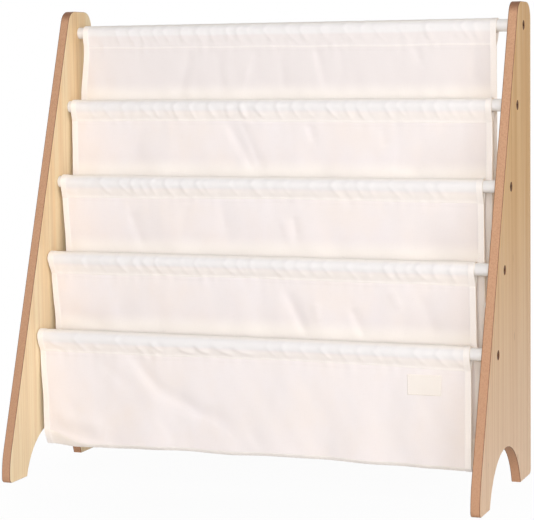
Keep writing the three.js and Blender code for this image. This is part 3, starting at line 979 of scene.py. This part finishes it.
def clothMesh(name, shares, stations, points, spread, length, **shades):
    # a bmesh grid laid on the cloth's own points, with its UV map in metres. spread is each line's place down
    # the flat cloth, and shades holds the attributes that colour it, with one value for each line
    bm = bmesh.new()
    bmesh.ops.create_grid(bm, x_segments=len(shares) - 1, y_segments=len(stations) - 1, size=0.5)
    mesh = toMesh(bm, name)
    flat = np.empty(len(mesh.vertices) * 3)
    mesh.vertices.foreach_get("co", flat)
    flat = flat.reshape(-1, 3) + 0.5  # the grid is 1 wide, and runs from 0 to 1 now
    column = np.rint(flat[:, 0] * (len(shares) - 1)).astype(int)
    line = np.rint(flat[:, 1] * (len(stations) - 1)).astype(int)
    grid = asPoints(*points(shares[None, :], stations[:, None])) * mm
    mesh.vertices.foreach_set("co", grid[line, column].astype(np.float32).ravel())
    corners = np.empty(len(mesh.loops), dtype=np.int32)
    mesh.loops.foreach_get("vertex_index", corners)
    uv = mesh.uv_layers.new(name="cloth")
    flatPlace = np.stack([shares[column] * length, spread[line]], axis=-1) * mm
    uv.data.foreach_set("uv", flatPlace[corners].astype(np.float32).ravel())
    fromEnd = np.minimum(shares[column], 1 - shares[column]) * length
    fromSeam = np.minimum(spread[line], spread.max() - spread[line])
    for shade, values in shades.items():
        onPoints = values[line].astype(np.float32)
        mesh.attributes.new(shade, "FLOAT", "POINT").data.foreach_set("value", onPoints)
    mesh.update()
    return mesh, fromEnd, fromSeam


def thicken(piece, fromEnd, fromSeam=None):
    # the hems at the cloth's ends are the thickest, then the band along a sleeve's seams
    full = sling["hemThickness"]
    hem = fromEnd < sling["hemWidth"]
    band = np.zeros(hem.shape, dtype=bool) if fromSeam is None else fromSeam < sling["seamWidth"]
    weights = piece.vertex_groups.new(name="hemThickness")
    for chosen, thickness in ((~hem & ~band, sling["thickness"]), (band & ~hem, sling["seamThickness"]),
                              (hem, full)):
        weights.add([int(i) for i in np.nonzero(chosen)[0]], thickness / full, "REPLACE")
    doubled = piece.data.attributes.new("doubled", "FLOAT", "POINT")
    doubled.data.foreach_set("value", np.where(hem, 1, sling["seamWhite"] * band).astype(np.float32))
    wall = piece.modifiers.new("thickness", "SOLIDIFY")
    wall.thickness = full * mm
    wall.offset = 0
    wall.vertex_group = "hemThickness"
    rim = piece.modifiers.new("edges", "BEVEL")
    rim.width = sling["thickness"] * sling["rimShare"] * mm
    rim.segments = sling["rimSegments"]
    rim.limit_method = "ANGLE"
    rim.angle_limit = math.radians(sling["rimAngle"])
    rim.harden_normals = True


stitchLook = {
    "length": 2.4,
    "pitch": 3.3,
    "radius": 0.26,
    "sink": 0.10,
    "sides": 6,
    "rings": 4,
    "nearby": (0.002, 0.004),          # how far along and down the cloth its slope is read
    "seamRun": (0.004, 0.996, 500),    # where a line of stitches begins and ends, and how many points it has
    "sleeveHemRun": (0.05, 0.95, 120),
    "pocketHemRun": (0.02, 2.98, 500),
}


def makeStitch():
    bm = bmesh.new()
    bmesh.ops.create_uvsphere(bm, u_segments=stitchLook["sides"], v_segments=stitchLook["rings"], radius=1.0)
    return toMesh(bm, "stitch")


stitchShape = makeStitch()


def addStitches(bm, path, outward, lift):
    # short threads along a line of points, standing a little out of the cloth
    look = stitchLook
    gone = np.concatenate([[0], np.cumsum(np.linalg.norm(np.diff(path, axis=0), axis=1))])
    count = int(gone[-1] / look["pitch"])
    start = (gone[-1] - (count - 1) * look["pitch"]) / 2
    size = Matrix.Diagonal((look["length"] / 2, look["radius"], look["radius"], 1))
    for n in range(count):
        place = start + n * look["pitch"]
        here = Vector([np.interp(place, gone, path[:, k]) for k in range(3)])
        ahead = Vector([np.interp(min(place + look["radius"], gone[-1]), gone, path[:, k]) for k in range(3)])
        out = Vector([np.interp(place, gone, outward[:, k]) for k in range(3)]).normalized()
        run = (ahead - here).normalized()
        turn = Matrix((run, out.cross(run).normalized(), out)).transposed().to_4x4()
        centre = Matrix.Translation(here + out * (lift - look["sink"]))
        stitch = stitchShape.copy()
        stitch.transform(Matrix.Scale(mm, 4) @ centre @ turn @ size)
        bm.from_mesh(stitch)
        bpy.data.meshes.remove(stitch)


def sewSheet(bm, name, slot, flat, restsOn):
    # the sheet's stitches as one piece of thread; the size in mm to which the sheet was cut is not kept
    stitches = newPiece(name, toMesh(bm, name), "thread", slot)
    flat[0] * mm
    flat[1] * mm


def stitchAlong(bm, points, shares, stations, thickness, sides=(1,)):
    # stitches along a line on the cloth, on its outer side or on both
    alongStep, downStep = stitchLook["nearby"]
    shares, stations = np.broadcast_arrays(shares, stations)
    here = asPoints(*points(shares, stations))
    beside = asPoints(*points(shares + alongStep, stations))
    above = asPoints(*points(shares, stations + downStep))
    out = np.cross(beside - here, above - here)
    for side in sides:
        addStitches(bm, here, out * side, thickness / 2)


def makeSleeve(row):
    node = f"rod_sleeve_{row + 1}"
    left, right = rows[row]["ends"]
    length = right - left
    around = sling["sleeveAround"]
    band = sling["seamWidth"] * np.array(sling["seamLines"]) / around
    start = sling["seamWidth"] * sling["linesFrom"] / around
    between = 2 * sling["straightSteps"] + sling["arcSteps"]
    stations = np.concatenate([band, np.linspace(start, 1 - start, between), 1 - band[::-1]])

    def points(share, station):
        return sleevePoints(row, share, station)

    z = points(0.5, stations)[2]
    height = (z - rows[row]["axis"][1]) / sling["sleeveRadius"]
    underShare = shelter["underShare"] * (1 - rows[row]["seamForward"])
    sheltered = np.maximum((1 - smoothStep(*shelter["underRod"], height)) * underShare,
                           smoothStep(*shelter["sleeveTop"], height))
    # painted light: the cloth right over the rod is cooler and whiter
    mesh, fromEnd, fromSeam = clothMesh(
        node, hemShares(length), stations, points, stations * around, length, sheltered=sheltered,
        # painted shade: the top row's sleeve is greyer
        backed=smoothStep(*shelter["backed"], height), single=np.full(stations.shape, row == 0))
    piece = newPiece(f"sling_sleeve_{row + 1}", mesh, "cloth", "sling_cloth", node)
    thicken(piece, fromEnd, fromSeam)
    bm = bmesh.new()
    seam, hem = sling["seamStitch"] / around, sling["hemStitch"] / length
    for station in (seam, 1 - seam):
        stitchAlong(bm, points, np.linspace(*stitchLook["seamRun"]), station, sling["seamThickness"])
    for end in (hem, 1 - hem):
        stitchAlong(bm, points, end, np.linspace(*stitchLook["sleeveHemRun"]), sling["hemThickness"])
    sewSheet(bm, f"sleeve_stitching_{row + 1}", "sling_cloth", (length, around),
             [f"painted_rod_{row + 1}"])


def makePocket(pocket):
    node = f"sling_pocket_{pocket + 1}"
    left = (rows[pocket]["ends"][0] + rows[pocket + 1]["ends"][0]) / 2
    right = (rows[pocket]["ends"][1] + rows[pocket + 1]["ends"][1]) / 2
    length = right - left
    stations = np.concatenate([
        np.linspace(0, 1, sling["frontSteps"], endpoint=False),
        1 + np.linspace(0, 1, sling["turnSteps"], endpoint=False),
        2 + np.linspace(0, 1, sling["rearSteps"] + 1)])

    def points(share, station):
        return pocketPoints(pocket, share, station)

    middle = asPoints(*points(np.full(stations.shape, 0.5), stations))
    spread = np.concatenate([[0], np.cumsum(np.linalg.norm(np.diff(middle, axis=0), axis=1))])
    lowerRod = rows[pocket + 1]["axis"][1]
    above = np.where(stations > 2, np.abs(middle[:, 2] - shelter["middle"] - lowerRod), np.inf)
    sheltered = 1 - smoothStep(*shelter["aboveSleeve"], above)
    if pocket == lowestPocket:
        sheltered = np.maximum(sheltered, shelter["bottomShare"] * ((stations > 1) & (stations < 2)))
    # painted shade: the top pocket's turn and rear wall are greyer
    mesh, fromEnd = clothMesh(
        node, hemShares(length), stations, points, spread, length, sheltered=sheltered,
        single=(stations > 1) & (pocket == 0))[:2]
    piece = newPiece(f"sling_cloth_{pocket + 1}", mesh, "cloth", "sling_cloth", node)
    thicken(piece, fromEnd)
    bm = bmesh.new()
    hem = sling["hemStitch"] / length
    down = np.linspace(*stitchLook["pocketHemRun"])
    for end in (hem, 1 - hem):
        stitchAlong(bm, points, end, down, sling["hemThickness"], (1, -1))
    sewSheet(bm, f"hem_stitching_{pocket + 1}", "sling_cloth", (length, spread[-1]),
             [f"painted_rod_{pocket + 1}", f"painted_rod_{pocket + 2}"])
    print(f"scene: pocket {pocket + 1} is {length:.0f} by {spread[-1]:.0f} mm of cloth")


for row in range(rodCount):
    makeSleeve(row)
for pocket in range(rodCount - 1):
    makePocket(pocket)
print("scene: sling made")


labelLook = {
    "left": 202.5,
    "width": 43.5,
    "top": 28.0,
    "height": 25.6,
    "thickness": 0.45,
    "stand": 0.75,
    "puff": 0.25,
    "inset": 1.6,
    "columns": 43,
    "lines": 27,
}


def makeLabel():
    look = labelLook
    across = np.linspace(0, 1, look["columns"])
    down = np.linspace(0, 1, look["lines"])

    def points(share, station):
        x = look["left"] + look["width"] * share
        x, drop = np.broadcast_arrays(x, look["top"] + look["height"] * station)
        puff = look["puff"] * np.sin(math.pi * share) * np.sin(math.pi * station)
        y = wallY(lowestRow, 1, x, drop) - look["stand"] - puff
        return x, y, rows[lowestRow]["axis"][1] - drop

    mesh = clothMesh("sling_label", across, down[::-1], points, down * look["height"], look["width"])[0]
    label = newPiece("bare_label", mesh, "ribbon", "label", "sling_label")
    wall = label.modifiers.new("thickness", "SOLIDIFY")
    wall.thickness = look["thickness"] * mm
    wall.offset = 0
    bm = bmesh.new()
    nearX, nearZ = look["inset"] / look["width"], look["inset"] / look["height"]
    corners = [(nearX, nearZ), (1 - nearX, nearZ), (1 - nearX, 1 - nearZ), (nearX, 1 - nearZ)]
    for start, end in zip(corners, [*corners[1:], corners[0]]):
        line = asPoints(*points(np.linspace(start[0], end[0], look["columns"]),
                                np.linspace(start[1], end[1], look["columns"])))
        addStitches(bm, line, np.tile([0.0, -1.0, 0.0], (len(line), 1)), look["thickness"] / 2)
    sewSheet(bm, "label_stitching", "label", (look["width"], look["height"]),
             [f"sling_cloth_{lowestPocket + 1}"])


makeLabel()
print("scene: label made")


floorLook = {
    "half": 12.0,
    "tone": (218, 218, 218),
    "speck": (210, 210, 210),
    "speckScale": (40, 40, 40),
    "shadeFrom": 0.10,        # the floor's own shading is fullest up to here, and fades to white by shadeTo
    "shadeTo": 0.60,
    "nearWhite": 0.95,        # how white the floor is where its shading is fullest
}
studio = {
    "fill": 0.30,
    "lamps": {
        "key": {"place": (0.85, -2.6, 1.6), "target": (0, 0, 0.3), "size": 0.6, "watts": 11.0},
        "front": {"place": (1.75, -5.8, 1.1), "target": (0, 0, 0.25), "size": 1.2, "watts": 132.0},
        "side": {"place": (2.2, -1.8, 0.6), "target": (-0.2, 0, 0.25), "size": 1.6, "watts": 22.0},
        "near": {"place": (0.55, -1.4, 0.4), "target": (-0.1, 0, 0.2), "size": 0.4, "watts": 0.6},
        "left": {"place": (-1.2, -2.5, 0.8), "target": (0.3, 0, 0.25), "size": 1.2, "watts": 8.0},
        "rear": {"place": (-1.6, 2.4, 1.2), "target": (0, 0, 0.3), "size": 1.8, "watts": 34.0},
    },
}


def makeFloor():
    look = floorLook
    bm = bmesh.new()
    bmesh.ops.create_grid(bm, x_segments=1, y_segments=1, size=look["half"])
    floor = bpy.data.objects.new("floor", toMesh(bm, "floor"))
    bpy.context.scene.collection.objects.link(floor)
    pale = newFinish("pale_floor")
    where = pale.place()
    x, y = pale.split(where)[:2]
    speck = pale.noise(where, look["speckScale"], 2.0)
    tone = pale.mix(speck, look["tone"], look["speck"])
    pale.finish(Base_Color=tone, Roughness=0.9, Specular_IOR_Level=0.0)
    away = (x * x + y * y) ** 0.5
    near = look["nearWhite"]
    share = away.ramp(look["shadeFrom"], look["shadeTo"]) * (1 - near) + near
    white = pale.node("ShaderNodeEmission", {}, {"Color": (1, 1, 1, 1), "Strength": 1.0})
    shaded = Wire(pale, pale.main.outputs[0])
    both = pale.node("ShaderNodeMixShader", {}, {0: share * pale.looked(), 1: shaded, 2: white})
    pale.links.new(both.socket, pale.nodes["Material Output"].inputs["Surface"])
    floor.data.materials.append(pale.owner)


def makeWorld():
    world = bpy.data.worlds.new("studio")
    bpy.context.scene.world = world
    sky = Finish(world, "Background")
    sky.finish(Color=(1, 1, 1, 1), Strength=sky.looked() * (1 - studio["fill"]) + studio["fill"])


def makeLamp(name, look):
    lamp = bpy.data.lights.new(name, "AREA")
    lamp.energy = look["watts"]
    lamp.size = look["size"]
    holder = bpy.data.objects.new(name, lamp)
    bpy.context.scene.collection.objects.link(holder)
    holder.location = look["place"]
    aim = Vector(look["target"]) - Vector(look["place"])
    holder.rotation_euler = aim.to_track_quat("-Z", "Y").to_euler()
    holder.visible_camera = False


cameraLook = {
    "place": (0.869417, -2.279848, 0.534634),
    "yaw": 20.795,
    "pitch": 4.655,
    "roll": -0.698,
    "sensor": 36.0,
    "lens": 128.618,
    "shift": -0.0749,
}


def makeCamera():
    look = cameraLook
    view = bpy.data.cameras.new("camera")
    view.sensor_width = look["sensor"]
    view.lens = look["lens"]
    view.shift_y = look["shift"]
    camera = bpy.data.objects.new("camera", view)
    bpy.context.scene.collection.objects.link(camera)
    turn = (Matrix.Rotation(math.radians(look["yaw"]), 4, "Z")
            @ Matrix.Rotation(math.radians(90 - look["pitch"]), 4, "X")
            @ Matrix.Rotation(math.radians(look["roll"]), 4, "Z"))
    camera.matrix_world = Matrix.Translation(look["place"]) @ turn
    bpy.context.scene.camera = camera


makeFloor()
makeWorld()
for lampName, lampLook in studio["lamps"].items():
    makeLamp(lampName, lampLook)
makeCamera()
bpy.context.scene.view_settings.view_transform = "Standard"
print("scene: studio made")
